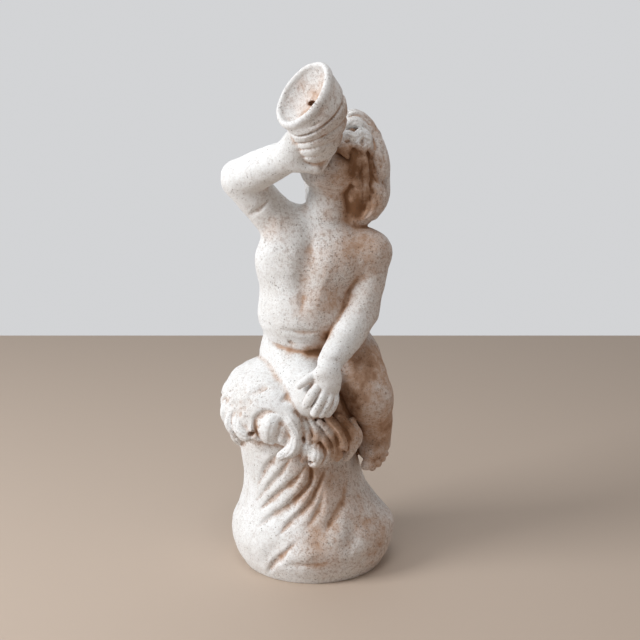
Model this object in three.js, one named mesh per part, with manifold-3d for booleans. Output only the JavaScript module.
// A cast-stone garden statue: a putto seated on a fleece thrown over a gathered sack, blowing a conch.
// Millimetres, +Z up. The figure faces -Y, its left hand is towards +X, and the origin is the
// middle of the underside.
//
// The statue is one casting, so it is modelled as one lump of clay: a lattice of signed distances
// in which limbs, balls and folds are blended, and whose surface is then skinned with triangles.

import * as THREE from 'three';
import { MeshoptSimplifier } from 'three/addons/libs/meshopt_simplifier.module.js';
import { mergeVertices } from 'three/addons/utils/BufferGeometryUtils.js';
import Module from 'manifold-3d';

// Driving dimensions.
const HEIGHT = 760; // underside to the rim of the conch
const BASE_RADIUS = 108; // footprint of the sack
const STONE_COLOUR = 0xd9d2c6;
const STONE_ROUGHNESS = 0.95;

// The lattice and the skin.
const PITCH = 4; // between lattice points
const TRIANGLES = 9400; // of the finished skin
const REACH = 26; // how far round a form its distances are worked out
const FAR = 1e3; // distance stored where there is no clay near
const CLAY_LOW = [ - 165, - 150, - 16 ];
const CLAY_HIGH = [ 148, 150, HEIGHT + 24 ];

// ---------------------------------------------------------------- vectors

const add = ( a, b ) => [ a[ 0 ] + b[ 0 ], a[ 1 ] + b[ 1 ], a[ 2 ] + b[ 2 ] ];
const sub = ( a, b ) => [ a[ 0 ] - b[ 0 ], a[ 1 ] - b[ 1 ], a[ 2 ] - b[ 2 ] ];
const scaled = ( a, s ) => [ a[ 0 ] * s, a[ 1 ] * s, a[ 2 ] * s ];
const dot = ( a, b ) => a[ 0 ] * b[ 0 ] + a[ 1 ] * b[ 1 ] + a[ 2 ] * b[ 2 ];
const cross = ( a, b ) => [
	a[ 1 ] * b[ 2 ] - a[ 2 ] * b[ 1 ], a[ 2 ] * b[ 0 ] - a[ 0 ] * b[ 2 ], a[ 0 ] * b[ 1 ] - a[ 1 ] * b[ 0 ] ];
const unit = ( a ) => scaled( a, 1 / Math.hypot( ...a ) );
const mix = ( a, b, t ) => a + ( b - a ) * t;
const clamp = ( t, low = 0, high = 1 ) => Math.min( high, Math.max( low, t ) );

/** Three square axes: ahead, and the nearest direction to up that is square to it. */
function axesOf( ahead, up = [ 0, 0, 1 ] ) {

	const f = unit( ahead );
	const side = unit( cross( f, up ) );
	return { ahead: f, side, up: cross( side, f ) };

}

/** A point given by its steps ahead, sideways and up from a centre. */
const placed = ( centre, axes, ahead, side, up ) =>
	add( centre, add( scaled( axes.ahead, ahead ), add( scaled( axes.side, side ), scaled( axes.up, up ) ) ) );

/** The smooth curve from b to c, with a and d on either side of them. */
const curved = ( a, b, c, d, t ) => 0.5 * ( 2 * b + ( c - a ) * t + ( 2 * a - 5 * b + 4 * c - d ) * t * t
	+ ( 3 * b - a - 3 * c + d ) * t * t * t );

/** A smooth curve through stations [x, y, z, radius], as evenly spread samples about step apart. */
function smoothed( stations, step ) {

	const at = ( i ) => stations[ clamp( i, 0, stations.length - 1 ) ];
	const samples = [];
	for ( let i = 0; i + 1 < stations.length; i ++ ) {

		const [ a, b, c, d ] = [ at( i - 1 ), at( i ), at( i + 1 ), at( i + 2 ) ];
		const pieces = Math.max( 1, Math.round( Math.hypot( ...sub( c, b ).slice( 0, 3 ) ) / step ) );
		for ( let j = 0; j < pieces; j ++ ) {

			const t = j / pieces;
			samples.push( b.map( ( _, k ) => curved( a[ k ], b[ k ], c[ k ], d[ k ], t ) ) );

		}

	}

	samples.push( at( stations.length - 1 ) );
	return samples;

}

// ---------------------------------------------------------------- forms: { low, high, at( x, y, z ) }

/** A ball stretched to three radii: ahead, sideways and up. */
function egg( centre, radii, axes = axesOf( [ 1, 0, 0 ] ) ) {

	const most = Math.max( ...radii );
	const { ahead, side, up } = axes;
	return {
		low: centre.map( ( c ) => c - most ),
		high: centre.map( ( c ) => c + most ),
		at( x, y, z ) {

			const p = [ x - centre[ 0 ], y - centre[ 1 ], z - centre[ 2 ] ];
			const q = [ dot( p, ahead ) / radii[ 0 ], dot( p, side ) / radii[ 1 ], dot( p, up ) / radii[ 2 ] ];
			const near = Math.hypot( ...q );
			const slope = Math.hypot( q[ 0 ] / radii[ 0 ], q[ 1 ] / radii[ 1 ], q[ 2 ] / radii[ 2 ] );
			return slope > 0 ? near * ( near - 1 ) / slope : - Math.min( ...radii );

		},
	};

}

/** A rounded limb along a smooth curve through stations [x, y, z, radius]. */
function limb( stations, step = 8 ) {

	const samples = smoothed( stations, step );
	const low = [ 0, 1, 2 ].map( ( k ) => Math.min( ...samples.map( ( s ) => s[ k ] - s[ 3 ] ) ) );
	const high = [ 0, 1, 2 ].map( ( k ) => Math.max( ...samples.map( ( s ) => s[ k ] + s[ 3 ] ) ) );
	return {
		low, high,
		at( x, y, z ) {

			let least = FAR;
			for ( let i = 0; i + 1 < samples.length; i ++ ) {

				const a = samples[ i ];
				const b = samples[ i + 1 ];
				const dx = b[ 0 ] - a[ 0 ];
				const dy = b[ 1 ] - a[ 1 ];
				const dz = b[ 2 ] - a[ 2 ];
				const px = x - a[ 0 ];
				const py = y - a[ 1 ];
				const pz = z - a[ 2 ];
				const t = clamp( ( px * dx + py * dy + pz * dz ) / ( dx * dx + dy * dy + dz * dz + 1e-9 ) );
				const d = Math.hypot( px - dx * t, py - dy * t, pz - dz * t ) - mix( a[ 3 ], b[ 3 ], t );
				if ( d < least ) least = d;

			}

			return least;

		},
	};

}

// ---------------------------------------------------------------- the clay

/** The smaller of two distances, rounded over where they are within blend of each other. */
function smoothLeast( a, b, blend ) {

	const h = Math.max( blend - Math.abs( a - b ), 0 ) / ( blend || 1 );
	return Math.min( a, b ) - h * h * blend / 4;

}

/** A lattice of signed distances: negative inside the stone, positive outside it. */
class Clay {

	constructor() {

		this.count = CLAY_HIGH.map( ( high, k ) => Math.ceil( ( high - CLAY_LOW[ k ] ) / PITCH ) + 1 );
		this.value = new Float32Array( this.count[ 0 ] * this.count[ 1 ] * this.count[ 2 ] ).fill( FAR );

	}

	/** Replaces each value in a box of space by change( x, y, z, value ). */
	work( low, high, change ) {

		const nearest = ( round, v, k ) => clamp( round( ( v - CLAY_LOW[ k ] ) / PITCH ), 0, this.count[ k ] - 1 );
		const first = low.map( ( v, k ) => nearest( Math.floor, v, k ) );
		const last = high.map( ( v, k ) => nearest( Math.ceil, v, k ) );
		for ( let k = first[ 2 ]; k <= last[ 2 ]; k ++ ) {

			for ( let j = first[ 1 ]; j <= last[ 1 ]; j ++ ) {

				for ( let i = first[ 0 ]; i <= last[ 0 ]; i ++ ) {

					const n = i + this.count[ 0 ] * ( j + this.count[ 1 ] * k );
					this.value[ n ] = change( CLAY_LOW[ 0 ] + i * PITCH, CLAY_LOW[ 1 ] + j * PITCH,
						CLAY_LOW[ 2 ] + k * PITCH, this.value[ n ] );

				}

			}

		}

		return this;

	}

	/** Puts a form on, blended over blend millimetres. blend may be a function of the place. */
	put( form, blend = 0 ) {

		const at = typeof blend === 'function' ? blend : () => blend;
		return this.work( form.low.map( ( v ) => v - REACH ), form.high.map( ( v ) => v + REACH ),
			( x, y, z, v ) => smoothLeast( v, form.at( x, y, z ), at( x, y, z ) ) );

	}

	/** Takes a form away, with the edge rounded over blend millimetres. */
	scoop( form, blend = 0 ) {

		return this.work( form.low.map( ( v ) => v - REACH ), form.high.map( ( v ) => v + REACH ),
			( x, y, z, v ) => - smoothLeast( - v, form.at( x, y, z ), blend ) );

	}

	/** Presses a soft groove along a line of stations [x, y, z, half width]. A negative depth raises a ridge. */
	press( stations, depth ) {

		const line = limb( stations.map( ( [ x, y, z ] ) => [ x, y, z, 0 ] ), 6 );
		const width = Math.max( ...stations.map( ( s ) => s[ 3 ] ) );
		return this.work( line.low.map( ( v ) => v - 3 * width ), line.high.map( ( v ) => v + 3 * width ),
			( x, y, z, v ) => v + depth * Math.exp( - ( ( line.at( x, y, z ) / width ) ** 2 ) ) );

	}

	/** Puts another lump of clay on this one. */
	join( other, blend = 0 ) {

		const at = typeof blend === 'function' ? blend : () => blend;
		let n = 0;
		return this.work( CLAY_LOW, CLAY_HIGH,
			( x, y, z, v ) => smoothLeast( v, other.value[ n ++ ], at( x, y, z ) ) );

	}

	/** Fills every bubble: all air that can't be reached from outside in lattice steps becomes stone. */
	fillBubbles() {

		const [ nx, ny, nz ] = this.count;
		const steps = [ 1, nx, nx * ny ];
		const reached = new Uint8Array( this.value.length );
		const front = [ 0 ];
		reached[ 0 ] = 1;
		while ( front.length ) {

			const n = front.pop();
			const place = [ n % nx, Math.floor( n / nx ) % ny, Math.floor( n / ( nx * ny ) ) ];
			for ( let k = 0; k < 3; k ++ ) for ( const way of [ - 1, 1 ] ) {

				const within = place[ k ] + way >= 0 && place[ k ] + way < this.count[ k ];
				const next = n + way * steps[ k ];
				if ( ! within || reached[ next ] || this.value[ next ] <= 0 ) continue;
				reached[ next ] = 1;
				front.push( next );

			}

		}

		this.value.forEach( ( v, n ) => {

			if ( v > 0 && ! reached[ n ] ) this.value[ n ] = - 0.5 * PITCH;

		} );
		return this;

	}

}

// ---------------------------------------------------------------- the sack

// The sack from the floor up: [height, centre x, centre y, half width, half depth].
const SACK = [
	[ - 8, 0, 0, BASE_RADIUS - 9, BASE_RADIUS - 11 ],
	[ 0, 0, 0, BASE_RADIUS, BASE_RADIUS - 2 ],
	[ 22, 0, 0, 120, 116 ],
	[ 46, - 1, 0, 125, 119 ],
	[ 66, - 2, 1, 122, 113 ],
	[ 88, - 6, 2, 109, 102 ],
	[ 115, - 12, 4, 96, 94 ],
	[ 145, - 17, 6, 90, 89 ],
	[ 185, - 24, 8, 88, 88 ],
	[ 230, - 24, 10, 84, 86 ],
	[ 270, - 20, 12, 60, 64 ],
];

function sack() {

	const profile = ( z ) => {

		const i = clamp( SACK.findIndex( ( s ) => s[ 0 ] > z ) - 1, 0, SACK.length - 2 );
		const [ a, b, c, d ] = [ i - 1, i, i + 1, i + 2 ].map( ( n ) => SACK[ clamp( n, 0, SACK.length - 1 ) ] );
		const t = clamp( ( z - b[ 0 ] ) / ( c[ 0 ] - b[ 0 ] ) );
		return b.map( ( _, k ) => curved( a[ k ], b[ k ], c[ k ], d[ k ], t ) );

	};

	const top = SACK[ SACK.length - 1 ][ 0 ];
	return {
		low: [ - 135, - 130, - 40 ],
		high: [ 135, 130, top ],
		at( x, y, z ) {

			const [ , cx, cy, rx, ry ] = profile( clamp( z, SACK[ 0 ][ 0 ], top ) );
			const round = Math.hypot( ( x - cx ) / rx, ( y - cy ) / ry );
			return Math.max( ( round - 1 ) * Math.min( rx, ry ) * 0.9, z - top, SACK[ 0 ][ 0 ] - z );

		},
	};

}

// Gathers of cloth that fan from under the fleece down to the lower left: [from, bow, to, half width, depth].
const GATHERS = [
	[ [ - 66, - 76, 150 ], [ - 84, - 66, 128 ], [ - 98, - 52, 112 ], 6, 3 ],
	[ [ - 44, - 82, 158 ], [ - 70, - 78, 126 ], [ - 92, - 70, 100 ], 6, 5 ],
	[ [ - 28, - 86, 156 ], [ - 56, - 90, 116 ], [ - 86, - 86, 82 ], 7, 6 ],
	[ [ - 12, - 88, 152 ], [ - 38, - 98, 108 ], [ - 72, - 102, 66 ], 7, 7 ],
	[ [ 2, - 88, 150 ], [ - 18, - 100, 104 ], [ - 44, - 114, 62 ], 7, 7 ],
	[ [ 14, - 86, 150 ], [ - 2, - 100, 100 ], [ - 18, - 118, 64 ], 7, 6 ],
	[ [ 28, - 82, 150 ], [ 18, - 98, 98 ], [ 6, - 116, 62 ], 7, 5 ],
	[ [ 42, - 74, 150 ], [ 40, - 90, 102 ], [ 34, - 106, 72 ], 8, 4 ],
];

/** The dent and the blunt rocky edges that swell the foot of the sack. */
function shapeFoot( clay ) {

	clay.press( [ [ - 66, - 102, 20, 9 ], [ - 52, - 108, 40, 9 ], [ - 34, - 116, 60, 9 ] ], 8 );
	clay.press( [ [ - 44, - 112, 40, 10 ], [ - 16, - 122, 48, 10 ] ], - 4 );
	clay.press( [ [ 100, - 56, 58, 12 ], [ 119, - 10, 64, 12 ], [ 110, 40, 60, 12 ] ], - 4 );
	clay.press( [ [ 66, - 98, 40, 9 ], [ 94, - 72, 34, 9 ], [ 114, - 34, 42, 9 ] ], 2.5 );

}

function sculptBase() {

	const clay = new Clay();
	clay.put( sack() );
	for ( const [ from, bow, to, width, depth ] of GATHERS )
		clay.press( [ [ ...from, width ], [ ...bow, width ], [ ...to, width ] ], depth );
	const plainFolds = 7; // round the hidden side, where the gathers are fewer and softer
	for ( let i = 0; i < plainFolds; i ++ ) {

		const turn = ( i / ( plainFolds - 1 ) * 200 - 10 ) * Math.PI / 180;
		const drop = ( out, z, lean ) =>
			[ - 12 + out * Math.cos( turn + lean ), out * Math.sin( turn + lean ), z, 9 ];
		clay.press( [ drop( 90, 165, 0 ), drop( 96, 120, 0.12 ), drop( 116, 78, 0.2 ) ], 4.5 );

	}

	shapeFoot( clay );
	return clay;

}

// ---------------------------------------------------------------- the fleece

// Locks of the fleece that hang over the front of the sack: [root, swell, tip, radius].
const FRONT_LOCKS = [
	[ [ - 118, - 44, 232 ], [ - 122, - 50, 218 ], [ - 112, - 52, 202 ], 11 ],
	[ [ - 104, - 66, 232 ], [ - 106, - 76, 214 ], [ - 94, - 78, 204 ], 10 ],
	[ [ - 78, - 84, 246 ], [ - 66, - 98, 240 ], [ - 66, - 96, 224 ], 15 ],
	[ [ - 34, - 92, 252 ], [ - 28, - 104, 230 ], [ - 44, - 104, 204 ], 13 ],
	[ [ - 46, - 88, 230 ], [ - 42, - 102, 214 ], [ - 56, - 98, 204 ], 9 ],
	[ [ - 16, - 92, 238 ], [ - 8, - 102, 216 ], [ - 22, - 100, 196 ], 12 ],
	[ [ - 2, - 90, 226 ], [ 8, - 100, 206 ], [ 3, - 98, 182 ], 11 ],
	[ [ 8, - 86, 240 ], [ 26, - 96, 218 ], [ 20, - 94, 190 ], 12 ],
	[ [ 26, - 78, 236 ], [ 42, - 86, 214 ], [ 36, - 84, 194 ], 12 ],
	[ [ 44, - 62, 230 ], [ 58, - 66, 216 ], [ 54, - 64, 200 ], 10 ],
];

function sculptFleece() {

	const clay = new Clay();
	clay.put( egg( [ - 50, - 6, 257 ], [ 90, 94, 66 ] ) );
	clay.put( egg( [ - 2, 8, 236 ], [ 76, 88, 48 ] ), 20 );
	for ( const [ root, swell, tip, radius ] of FRONT_LOCKS )
		clay.put( limb( [ [ ...root, radius * 0.7 ], [ ...swell, radius ], [ ...tip, radius * 0.5 ] ], 6 ), 5 );
	const hem = 14; // locks round the hidden side
	for ( let i = 0; i < hem; i ++ ) {

		const turn = ( 8 + i * 186 / ( hem - 1 ) ) * Math.PI / 180;
		const radius = 12 + 3 * Math.sin( 2.3 * i );
		const hang = ( out, z, lean ) =>
			[ - 24 + ( 98 + out ) * Math.cos( turn + lean ), 6 + ( 92 + out ) * Math.sin( turn + lean ), z ];
		clay.put( limb( [ [ ...hang( - 6, 238, 0 ), radius * 0.8 ], [ ...hang( 0, 220, 0.06 ), radius ],
			[ ...hang( - 5, 202 + 5 * Math.cos( 1.9 * i ), - 0.04 ), radius * 0.5 ] ], 6 ), 6 );

	}

	return clay;

}

// ---------------------------------------------------------------- the figure

const JOINT = {
	neck: [ 24, 12, 545 ],
	skull: [ 38, 18, 614 ],
	raisedShoulder: [ - 42, 8, 518 ],
	raisedElbow: [ - 103, - 14, 592 ],
	raisedWrist: [ - 32, - 66, 632 ],
	restingShoulder: [ 84, 4, 479 ],
	restingElbow: [ 70, - 14, 396 ],
	restingWrist: [ 25, - 88, 338 ],
	rightHip: [ - 36, 12, 318 ],
	rightKnee: [ 0, - 78, 284 ],
	leftHip: [ 48, 14, 318 ],
	leftKnee: [ 83, - 32, 266 ],
	leftAnkle: [ 92, 2, 190 ],
};

function sculptTorso() {

	const clay = new Clay();
	clay.put( egg( [ - 9, 12, 456 ], [ 74, 56, 62 ] ) );
	clay.put( egg( [ - 12, - 2, 390 ], [ 70, 60, 58 ] ), 30 );
	clay.put( egg( [ 10, 14, 328 ], [ 82, 56, 44 ] ), 26 );
	clay.put( egg( [ - 34, 48, 308 ], [ 42, 40, 42 ] ), 14 );
	clay.put( egg( [ 42, 48, 308 ], [ 42, 40, 42 ] ), 14 );
	const yoke = [ [ ...JOINT.raisedShoulder, 29 ], [ 20, 16, 506, 36 ], [ ...JOINT.restingShoulder, 27 ] ];
	clay.put( limb( yoke ), 24 );
	clay.put( limb( [ [ 16, 16, 508, 36 ], [ ...JOINT.neck, 34 ], [ 32, 14, 585, 35 ] ] ), 14 );
	clay.put( egg( [ - 42, - 12, 476 ], [ 38, 28, 36 ] ), 26 );
	clay.put( egg( [ 38, - 12, 474 ], [ 38, 28, 36 ] ), 26 );
	// The soft furrow down the breast and belly, the roll over the navel and the crease under it.
	const breast = [ [ 6, - 42, 512, 12 ], [ - 2, - 50, 460, 12 ], [ - 14, - 60, 400, 12 ], [ - 22, - 60, 374, 12 ] ];
	clay.press( breast, 5 );
	clay.press( [ [ - 60, - 40, 378, 4 ], [ - 30, - 58, 373, 4 ], [ 14, - 60, 372, 4 ] ], 2.5 );
	clay.press( [ [ - 84, - 18, 357, 4 ], [ - 52, - 46, 352, 4 ], [ 0, - 56, 342, 4 ], [ 40, - 46, 342, 4 ] ], 5 );
	// The furrow of the spine, the shoulder blades and the cleft of the seat.
	clay.press( [ [ 20, 70, 520, 12 ], [ 6, 68, 460, 12 ], [ - 2, 62, 390, 12 ], [ 2, 74, 345, 12 ] ], 6 );
	clay.press( [ [ - 20, 64, 500, 14 ], [ - 34, 62, 462, 14 ] ], - 4 );
	clay.press( [ [ 58, 58, 494, 14 ], [ 54, 60, 458, 14 ] ], - 4 );
	clay.press( [ [ 3, 84, 344, 6 ], [ 4, 92, 310, 6 ], [ 4, 88, 280, 6 ] ], 12 );
	return clay;

}

/** A foot from the ankle to the toes, the great toe first. */
function putFoot( clay, ankle, heel, ball, toes, radius ) {

	const instep = ball.map( ( b, k ) => mix( heel[ k ], b, 0.55 ) );
	clay.put( limb( [ [ ...ankle, 21 ], [ ...heel, 19 ] ] ), 8 );
	clay.put( limb( [ [ ...heel, 18 ], [ ...instep, 17 ], [ ...ball, 15 ] ] ), 8 );
	toes.forEach( ( toe, i ) => {

		const r = radius * [ 1.3, 1, 1, 0.95, 0.9 ][ i ];
		clay.put( limb( [ [ ...toe.map( ( v, k ) => mix( v, ball[ k ], 0.5 ) ), r * 1.25 ], [ ...toe, r ] ] ), 2.5 );

	} );

}

function sculptLegs() {

	const clay = new Clay();
	clay.put( limb( [ [ ...JOINT.rightHip, 42 ], [ - 22, - 36, 302, 41 ], [ ...JOINT.rightKnee, 32 ] ] ) );
	clay.put( limb( [ [ ...JOINT.leftHip, 46 ], [ 68, - 8, 298, 42 ], [ ...JOINT.leftKnee, 36 ] ] ), 16 );
	clay.put( limb( [ [ ...JOINT.leftKnee, 34 ], [ 93, - 14, 226, 28 ], [ ...JOINT.leftAnkle, 23 ] ] ), 12 );
	clay.put( egg( [ 86, 12, 232 ], [ 25, 24, 34 ] ), 12 );
	const toes = [ [ 77, - 46, 153 ], [ 87, - 48, 156 ], [ 96, - 45, 161 ], [ 103, - 41, 167 ], [ 109, - 35, 173 ] ];
	putFoot( clay, JOINT.leftAnkle, [ 88, 14, 172 ], [ 91, - 26, 168 ], toes, 7 );
	return clay;

}

/** The right foot, tucked under the seat with its sole to the back. */
function sculptTuckedFoot() {

	const clay = new Clay();
	clay.put( limb( [ [ - 76, 10, 284, 24 ], [ - 70, 52, 278, 22 ] ] ) );
	const toes = [ [ 2, 97, 248 ], [ 0, 100, 258 ], [ - 3, 99, 267 ], [ - 8, 97, 275 ], [ - 14, 93, 282 ] ];
	putFoot( clay, [ - 70, 52, 278 ], [ - 62, 76, 272 ], [ - 22, 90, 264 ], toes, 6.5 );
	return clay;

}

/** A hand's fingers, each a limb through its root, knuckle and tip: [root, knuckle, tip, radius]. */
function putFingers( clay, fingers ) {

	for ( const [ root, knuckle, tip, r ] of fingers )
		clay.put( limb( [ [ ...root, r ], [ ...knuckle, r * 1.04 ], [ ...tip, r * 0.82 ] ], 5 ), 2 );

}

function sculptRestingArm() {

	const clay = new Clay();
	clay.put( limb( [ [ ...JOINT.restingShoulder, 32 ], [ 81, - 2, 440, 27 ], [ ...JOINT.restingElbow, 27 ] ] ) );
	clay.put( limb( [ [ ...JOINT.restingElbow, 27 ], [ 53, - 46, 370, 25 ], [ ...JOINT.restingWrist, 18 ] ] ), 8 );
	clay.put( egg( [ 18, - 101, 318 ], [ 20, 13, 24 ], axesOf( [ 1, 0.1, 0 ], [ - 0.3, - 0.4, 1 ] ) ), 10 );
	putFingers( clay, [
		[ [ 8, - 98, 328 ], [ - 10, - 107, 317 ], [ - 22, - 108, 305 ], 8 ],
		[ [ 7, - 108, 308 ], [ - 1, - 117, 294 ], [ - 7, - 117, 279 ], 7.4 ],
		[ [ 15, - 110, 305 ], [ 11, - 120, 286 ], [ 4, - 117, 268 ], 7.4 ],
		[ [ 23, - 109, 304 ], [ 21, - 118, 286 ], [ 13, - 115, 266 ], 7.2 ],
		[ [ 30, - 105, 306 ], [ 31, - 112, 288 ], [ 24, - 110, 269 ], 6.8 ],
	] );
	return clay;

}

function sculptRaisedArm() {

	const clay = new Clay();
	clay.put( limb( [ [ ...JOINT.raisedShoulder, 32 ], [ - 70, 0, 550, 30 ], [ ...JOINT.raisedElbow, 29 ] ] ) );
	clay.put( limb( [ [ ...JOINT.raisedElbow, 29 ], [ - 68, - 40, 612, 27 ], [ ...JOINT.raisedWrist, 22 ] ] ), 4 );
	clay.put( egg( [ - 22, - 74, 646 ], [ 20, 20, 24 ] ), 10 );
	putFingers( clay, [
		[ [ - 26, - 80, 626 ], [ - 8, - 84, 615 ], [ 10, - 72, 612 ], 9.5 ],
		...[ 672, 659, 647, 636 ].map( ( z ) =>
			[ [ - 28, - 66, z ], [ - 14, - 48, z + 2 ], [ 8, - 44, z + 1 ], 7.6 ] ),
	] );
	return clay;

}

// ---------------------------------------------------------------- the head

const HEAD = axesOf( [ - 0.42, - 0.79, 0.44 ] ); // thrown back, and turned to the figure's right
const onHead = ( ahead, side, up ) => placed( JOINT.skull, HEAD, ahead, side, up );

function sculptHead() {

	const clay = new Clay();
	clay.put( egg( onHead( - 4, 0, 8 ), [ 58, 52, 54 ], HEAD ) );
	clay.put( egg( onHead( 16, 0, - 16 ), [ 40, 42, 36 ], HEAD ), 14 ); // face, 0.8 of the skull's breadth
	clay.put( egg( onHead( 22, 0, - 33 ), [ 30, 34, 20 ], HEAD ), 14 ); // jaw, 0.65 of it
	clay.put( egg( onHead( 42, 0, - 43 ), [ 12, 14, 11 ], HEAD ), 10 ); // chin
	const face = ( stations, blend ) =>
		clay.put( limb( stations.map( ( [ a, s, u, r ] ) => [ ...onHead( a, s, u ), r ] ), 4 ), blend );
	for ( const s of [ - 1, 1 ] ) {

		clay.put( egg( onHead( 30, s * 21, - 20 ), [ 22, 20, 18 ], HEAD ), 12 ); // cheek
		face( [ [ 48, s * 6, 12, 5 ], [ 46, s * 20, 15, 6 ], [ 38, s * 34, 9, 5 ] ], 10 ); // brow
		clay.press( [ [ ...onHead( 52, s * 9, - 2 ), 8 ], [ ...onHead( 44, s * 27, - 3 ), 8 ] ], 6 );
		clay.put( egg( onHead( 37.5, s * 18.5, - 3 ), [ 10, 11, 9 ], HEAD ), 2 ); // eyeball
		face( [ [ 45, s * 8, - 4, 2.2 ], [ 48.5, s * 17, 4, 2.8 ], [ 40, s * 30, - 4, 2.2 ] ], 3 ); // upper lid
		face( [ [ 45, s * 8, - 5, 2 ], [ 46.5, s * 18, - 10, 2.2 ], [ 40, s * 30, - 5, 2 ] ], 3 ); // lower lid
		clay.put( egg( onHead( 56, s * 6.5, - 17.5 ), [ 6, 5, 5 ], HEAD ), 3 ); // wing of the nose

	}

	face( [ [ 49, 0, 10, 5 ], [ 54, 0, - 3, 5.5 ], [ 60, 0, - 15, 7 ] ], 6 );
	face( [ [ 53, - 11, - 31, 4 ], [ 57, 0, - 26.5, 4.5 ], [ 53, 11, - 31, 4 ] ], 4 ); // lips
	face( [ [ 53, - 11, - 32, 4 ], [ 56, 0, - 36.5, 4.5 ], [ 53, 11, - 32, 4 ] ], 4 );
	return clay;

}

const HAIR = { ahead: - 9, up: 9, radii: [ 58, 57, 55 ] };

/** A place on the hair: degrees round from the face to the figure's right, degrees down from the crown, height. */
function onHair( round, down, height ) {

	const r = round * Math.PI / 180;
	const d = down * Math.PI / 180;
	const [ a, s, u ] = HAIR.radii.map( ( radius ) => radius + height );
	return onHead( HAIR.ahead + a * Math.sin( d ) * Math.cos( r ), s * Math.sin( d ) * Math.sin( r ),
		HAIR.up + u * Math.cos( d ) );

}

/** A wavy lock combed over the head, thick in the middle and curled at its end. */
function putLock( clay, [ round, down ], [ roundTo, downTo ], radius, wave ) {

	const steps = 7;
	const stations = [];
	for ( let i = 0; i <= steps; i ++ ) {

		const t = i / steps;
		const sway = Math.sin( t * 2.2 * Math.PI );
		const place = onHair( mix( round, roundTo, t ) + wave * sway, mix( down, downTo, t ), - 3 + 4 * sway );
		stations.push( [ ...place, radius * ( 0.6 + 0.5 * Math.sin( Math.PI * ( 0.1 + 0.8 * t ) ) ) ] );

	}

	clay.put( limb( stations, 6 ), 2 );

}

// The long locks that fall behind the left ear to the shoulder: stations [x, y, z, radius].
const NAPE_LOCKS = [
	[ [ 84, - 6, 616, 11 ], [ 98, 2, 590, 14 ], [ 92, 0, 566, 13 ], [ 98, - 4, 548, 12 ], [ 86, - 8, 534, 9 ] ],
	[ [ 86, 22, 612, 13 ], [ 98, 20, 586, 14 ], [ 100, 16, 560, 15 ], [ 92, 12, 538, 13 ], [ 78, 8, 530, 9 ] ],
	[ [ 78, 44, 606, 14 ], [ 82, 48, 576, 15 ], [ 78, 42, 550, 14 ], [ 66, 38, 532, 10 ] ],
	[ [ 56, 62, 602, 14 ], [ 56, 64, 572, 15 ], [ 48, 56, 546, 13 ], [ 40, 52, 530, 9 ] ],
	[ [ 28, 68, 600, 14 ], [ 26, 66, 572, 14 ], [ 18, 58, 548, 12 ], [ 14, 50, 534, 8 ] ],
	[ [ 2, 56, 604, 12 ], [ - 2, 54, 580, 12 ], [ - 4, 44, 560, 9 ] ],
];

function sculptHair() {

	const clay = new Clay();
	clay.put( egg( onHead( HAIR.ahead - 2, 0, HAIR.up + 1 ), HAIR.radii.map( ( r ) => r - 1 ), HEAD ) );
	clay.put( egg( [ 44, 44, 584 ], [ 50, 34, 46 ] ), 10 );
	clay.put( egg( [ 74, 18, 574 ], [ 30, 32, 42 ] ), 10 );
	clay.put( egg( [ 64, 12, 540 ], [ 28, 26, 24 ] ), 10 );
	for ( const lock of NAPE_LOCKS ) clay.put( limb( lock, 6 ), 5 );
	const tiers = [
		{ locks: 9, from: 42, to: 318, down: [ 18, 66 ], twist: 16, radius: 10, wave: 7 },
		{ locks: 13, from: 58, to: 302, down: [ 58, 104 ], twist: 10, radius: 10, wave: 6 },
	];
	for ( const { locks, from, to, down, twist, radius, wave } of tiers ) for ( let i = 0; i < locks; i ++ ) {

		const round = mix( from, to, i / ( locks - 1 ) );
		const wayRound = round < 180 ? 1 : - 1;
		const root = [ round - twist * wayRound, down[ 0 ] ];
		putLock( clay, root, [ round, down[ 1 ] ], radius + Math.sin( 3.1 * i ), wave * wayRound );

	}

	// The locks over the brow, and the wisps before each ear.
	for ( const s of [ - 1, 1 ] ) {

		for ( const [ round, down ] of [ [ 16, 50 ], [ 36, 56 ], [ 54, 64 ] ] )
			putLock( clay, [ s * ( round - 22 ), 20 ], [ s * round, down ], 8.5, s * 6 );
		putLock( clay, [ s * 44, 52 ], [ s * 66, 96 ], 7, s * 5 );
		putLock( clay, [ s * 54, 56 ], [ s * 76, 112 ], 8, s * 5 );

	}

	return clay;

}

// ---------------------------------------------------------------- the conch

const CONCH_LIP = [ 51, 40 ]; // half length and half width of the mouth
const LONG = [ 0.53, 0.21, 0.82 ]; // the way the mouth is longer

// Sections of the shell from the lips to the mouth: where it is, the way it faces, half length and half width.
const CONCH = [
	{ at: [ 6, - 42, 612 ], facing: [ - 0.2, - 0.75, 0.62 ], size: [ 10, 10 ] },
	{ at: [ 10, - 64, 630 ], facing: [ - 0.1, - 0.25, 0.95 ], size: [ 22, 21 ] },
	{ at: [ 12, - 74, 655 ], facing: [ - 0.3, - 0.15, 0.93 ], size: [ 35, 32 ] },
	{ at: [ 10, - 82, 674 ], facing: [ - 0.43, - 0.2, 0.88 ], size: [ 41, 38 ] },
	{ at: [ 3, - 92, 695 ], facing: [ - 0.54, - 0.4, 0.74 ], size: [ 45, 41 ] },
	{ at: [ - 10, - 105, 717 ], facing: [ - 0.566, - 0.628, 0.53 ], size: CONCH_LIP.map( ( r ) => r - 2 ) },
];
const RIBS = 6;

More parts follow.
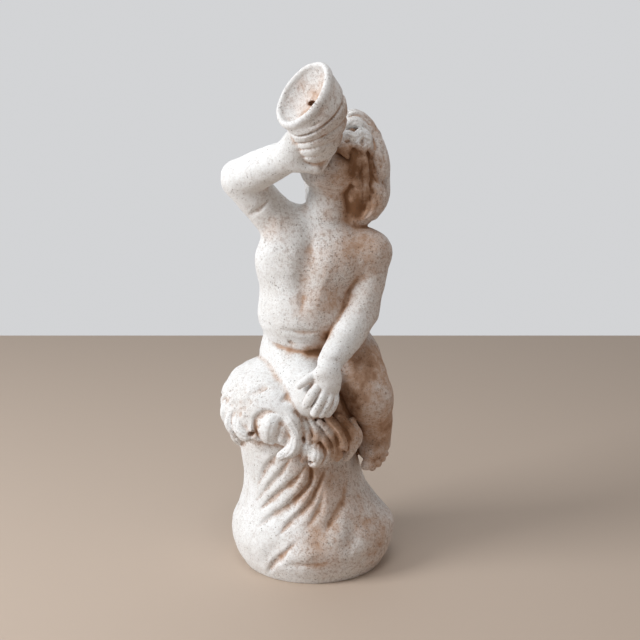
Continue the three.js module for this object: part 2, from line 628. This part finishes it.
/** The shell's body: sections on planes that swing round as the shell bends, ribbed between them. */
function horn() {

	const sections = CONCH.map( ( s ) => [ ...s.at, ...s.size, ...s.facing ] );
	const stations = smoothed( sections, 3 ).map( ( s ) => {

		const facing = unit( s.slice( 5, 8 ) );
		const wide = unit( cross( facing, LONG ) );
		return { at: s.slice( 0, 3 ), facing, wide, long: cross( wide, facing ), size: s.slice( 3, 5 ) };

	} );
	const last = stations.length - 1;
	const most = CONCH_LIP[ 0 ] + 4;
	return {
		low: [ 0, 1, 2 ].map( ( k ) => Math.min( ...stations.map( ( s ) => s.at[ k ] ) ) - most ),
		high: [ 0, 1, 2 ].map( ( k ) => Math.max( ...stations.map( ( s ) => s.at[ k ] ) ) + most ),
		at( x, y, z ) {

			const ahead = ( s ) => dot( sub( [ x, y, z ], s.at ), s.facing );
			let i = 0;
			while ( i < last - 1 && ahead( stations[ i + 1 ] ) > 0 ) i ++;
			const [ a, b ] = [ stations[ i ], stations[ i + 1 ] ];
			const t = clamp( ahead( a ) / ( ahead( a ) - ahead( b ) + 1e-9 ) );
			const middle = a.at.map( ( v, k ) => mix( v, b.at[ k ], t ) );
			const q = sub( [ x, y, z ], middle );
			const rib = 1 + 0.035 * Math.cos( 2 * Math.PI * RIBS * ( i + t ) / last );
			const long = mix( a.size[ 0 ], b.size[ 0 ], t ) * rib;
			const wide = mix( a.size[ 1 ], b.size[ 1 ], t ) * rib;
			const round = Math.hypot( dot( q, a.long ) / long, dot( q, a.wide ) / wide );
			const shell = ( round - 1 ) * Math.min( long, wide ) * 0.85;
			return Math.max( shell, ahead( stations[ last ] ), - ahead( stations[ 0 ] ) );

		},
	};

}

function sculptConch() {

	const clay = new Clay();
	clay.put( horn() );
	const mouth = CONCH[ CONCH.length - 1 ];
	const facing = unit( mouth.facing );
	const wide = unit( cross( facing, LONG ) );
	const rollRadius = 8;
	const rim = [];
	for ( let i = 0; i <= 16; i ++ ) {

		const turn = i / 16 * 2 * Math.PI;
		const along = scaled( unit( LONG ), ( CONCH_LIP[ 0 ] - rollRadius ) * Math.cos( turn ) );
		const across = scaled( wide, ( CONCH_LIP[ 1 ] - rollRadius ) * Math.sin( turn ) );
		rim.push( [ ...add( mouth.at, add( along, across ) ), rollRadius ] );

	}

	clay.put( limb( rim, 8 ), 3 );
	const hollow = add( mouth.at, add( scaled( facing, 8 ), scaled( wide, 3 ) ) );
	clay.scoop( egg( hollow, [ 32, CONCH_LIP[ 1 ] - 11, CONCH_LIP[ 0 ] - 10 ], axesOf( facing, LONG ) ), 6 );
	return clay;

}

function sculptStatue() {

	const statue = sculptBase();
	statue.join( sculptFleece(), 6 );
	const figure = sculptTorso();
	figure.join( sculptLegs(), ( x, y, z ) => mix( 24, 6, clamp( ( 330 - z ) / 60 ) ) );
	figure.join( sculptRestingArm(), ( x, y, z ) => mix( 4, 20, clamp( ( z - 430 ) / 60 ) ) );
	figure.join( sculptRaisedArm(), ( x ) => mix( 20, 4, clamp( ( - 50 - x ) / 40 ) ) );
	const head = sculptHead();
	head.join( sculptHair(), 3 );
	figure.join( head, 6 );
	figure.join( sculptConch(), 2 );
	statue.join( figure, 4 );
	statue.join( sculptTuckedFoot(), 3 );
	return statue.fillBubbles();

}

// ---------------------------------------------------------------- the skin

// A lattice cube is cut into six tetrahedra that share its diagonal, each given by the corners
// it passes on the way.
const CORNERS = [ 0, 1, 2, 3, 4, 5, 6, 7 ].map( ( n ) => [ n & 1, n >> 1 & 1, n >> 2 ] );
const TETRAHEDRA = [
	[ 0, 1, 3, 7 ], [ 0, 3, 2, 7 ], [ 0, 2, 6, 7 ], [ 0, 6, 4, 7 ], [ 0, 4, 5, 7 ], [ 0, 5, 1, 7 ],
];

/** The surface where the clay's distance is zero, as one closed indexed geometry. */
function skin( clay ) {

	const [ nx, ny, nz ] = clay.count;
	const cornerStep = CORNERS.map( ( [ i, j, k ] ) => i + nx * ( j + ny * k ) );
	const position = [];
	const index = [];
	const known = new Map();
	const valueAt = ( n ) => clay.value[ n ] === 0 ? 1e-6 : clay.value[ n ];

	const crossing = ( inside, outside ) => {

		const key = Math.min( inside, outside ) * 2 ** 24 + Math.abs( inside - outside );
		if ( ! known.has( key ) ) {

			const t = clamp( valueAt( inside ) / ( valueAt( inside ) - valueAt( outside ) ), 0.04, 0.96 );
			const place = ( n ) => [ n % nx, Math.floor( n / nx ) % ny, Math.floor( n / ( nx * ny ) ) ];
			const [ a, b ] = [ place( inside ), place( outside ) ];
			known.set( key, position.length / 3 );
			for ( let k = 0; k < 3; k ++ ) position.push( CLAY_LOW[ k ] + PITCH * mix( a[ k ], b[ k ], t ) );

		}

		return known.get( key );

	};

	for ( let k = 0; k + 1 < nz; k ++ ) for ( let j = 0; j + 1 < ny; j ++ ) for ( let i = 0; i + 1 < nx; i ++ ) {

		const base = i + nx * ( j + ny * k );
		const within = cornerStep.filter( ( step ) => valueAt( base + step ) < 0 ).length;
		if ( within === 0 || within === 8 ) continue;
		for ( const tetrahedron of TETRAHEDRA ) {

			const ends = tetrahedron.map( ( c ) => base + cornerStep[ c ] );
			const inner = [];
			const outer = [];
			for ( let c = 0; c < 4; c ++ ) ( valueAt( ends[ c ] ) < 0 ? inner : outer ).push( c );
			if ( ! inner.length || ! outer.length ) continue;
			// With the corners inside listed first, the faces point out while the order is an even shuffle.
			const order = [ ...inner, ...outer ];
			let swaps = 0;
			for ( let a = 0; a < 4; a ++ ) for ( let b = a + 1; b < 4; b ++ ) if ( order[ a ] > order[ b ] ) swaps ++;
			if ( swaps % 2 ) {

				if ( inner.length > 1 ) [ order[ 0 ], order[ 1 ] ] = [ order[ 1 ], order[ 0 ] ];
				else [ order[ 2 ], order[ 3 ] ] = [ order[ 3 ], order[ 2 ] ];

			}

			const [ p, q, r, s ] = order.map( ( c ) => ends[ c ] );
			if ( inner.length === 1 ) index.push( crossing( p, q ), crossing( p, r ), crossing( p, s ) );
			else if ( inner.length === 3 ) index.push( crossing( p, s ), crossing( q, s ), crossing( r, s ) );
			else index.push( crossing( p, r ), crossing( p, s ), crossing( q, s ),
				crossing( p, r ), crossing( q, s ), crossing( q, r ) );

		}

	}

	const geometry = new THREE.BufferGeometry();
	geometry.setAttribute( 'position', new THREE.Float32BufferAttribute( position, 3 ) );
	geometry.setIndex( index );
	return geometry;

}

/** The skin with about so many triangles, of even shape, the flatter places having the larger ones. */
async function simplified( geometry, triangles ) {

	await MeshoptSimplifier.ready;
	const positions = geometry.attributes.position.array;
	const [ kept ] = MeshoptSimplifier.simplify( new Uint32Array( geometry.index.array ), positions, 3,
		3 * triangles, 1, [ 'RegularizeLight' ] );
	const [ renamed, count ] = MeshoptSimplifier.compactMesh( kept );
	const compact = new Float32Array( 3 * count );
	renamed.forEach( ( to, from ) => {

		if ( to < count ) compact.set( positions.subarray( 3 * from, 3 * from + 3 ), 3 * to );

	} );
	const made = new THREE.BufferGeometry();
	made.setAttribute( 'position', new THREE.BufferAttribute( compact, 3 ) );
	made.setIndex( new THREE.BufferAttribute( kept, 1 ) );
	return made;

}

const wasm = await Module();
wasm.setup();

function solidOf( geometry ) {

	return new wasm.Manifold( new wasm.Mesh( {
		numProp: 3,
		vertProperties: new Float32Array( geometry.attributes.position.array ),
		triVerts: new Uint32Array( geometry.index.array ),
	} ) );

}

/** Cuts the stone off flat at the floor, and keeps its one large body. */
function standing( geometry ) {

	const below = new THREE.BoxGeometry( 2 * HEIGHT, 2 * HEIGHT, HEIGHT );
	below.translate( 0, 0, - HEIGHT / 2 );
	below.deleteAttribute( 'normal' );
	below.deleteAttribute( 'uv' );
	const floor = solidOf( mergeVertices( below ) );
	const bodies = solidOf( geometry ).subtract( floor ).decompose();
	const cut = bodies.reduce( ( most, body ) => body.volume() > most.volume() ? body : most ).getMesh();
	const made = new THREE.BufferGeometry();
	made.setAttribute( 'position', new THREE.Float32BufferAttribute( cut.vertProperties, 3 ) );
	made.setIndex( new THREE.Uint32BufferAttribute( cut.triVerts, 1 ) );
	made.computeVertexNormals();
	return made;

}

const stone = new THREE.MeshStandardMaterial( {
	color: STONE_COLOUR,
	roughness: STONE_ROUGHNESS,
	metalness: 0,
} );
const statue = new THREE.Mesh( standing( await simplified( skin( sculptStatue() ), TRIANGLES ) ), stone );
statue.name = 'cherub_statue';

const part = new THREE.Group();
part.add( statue );

export default part;
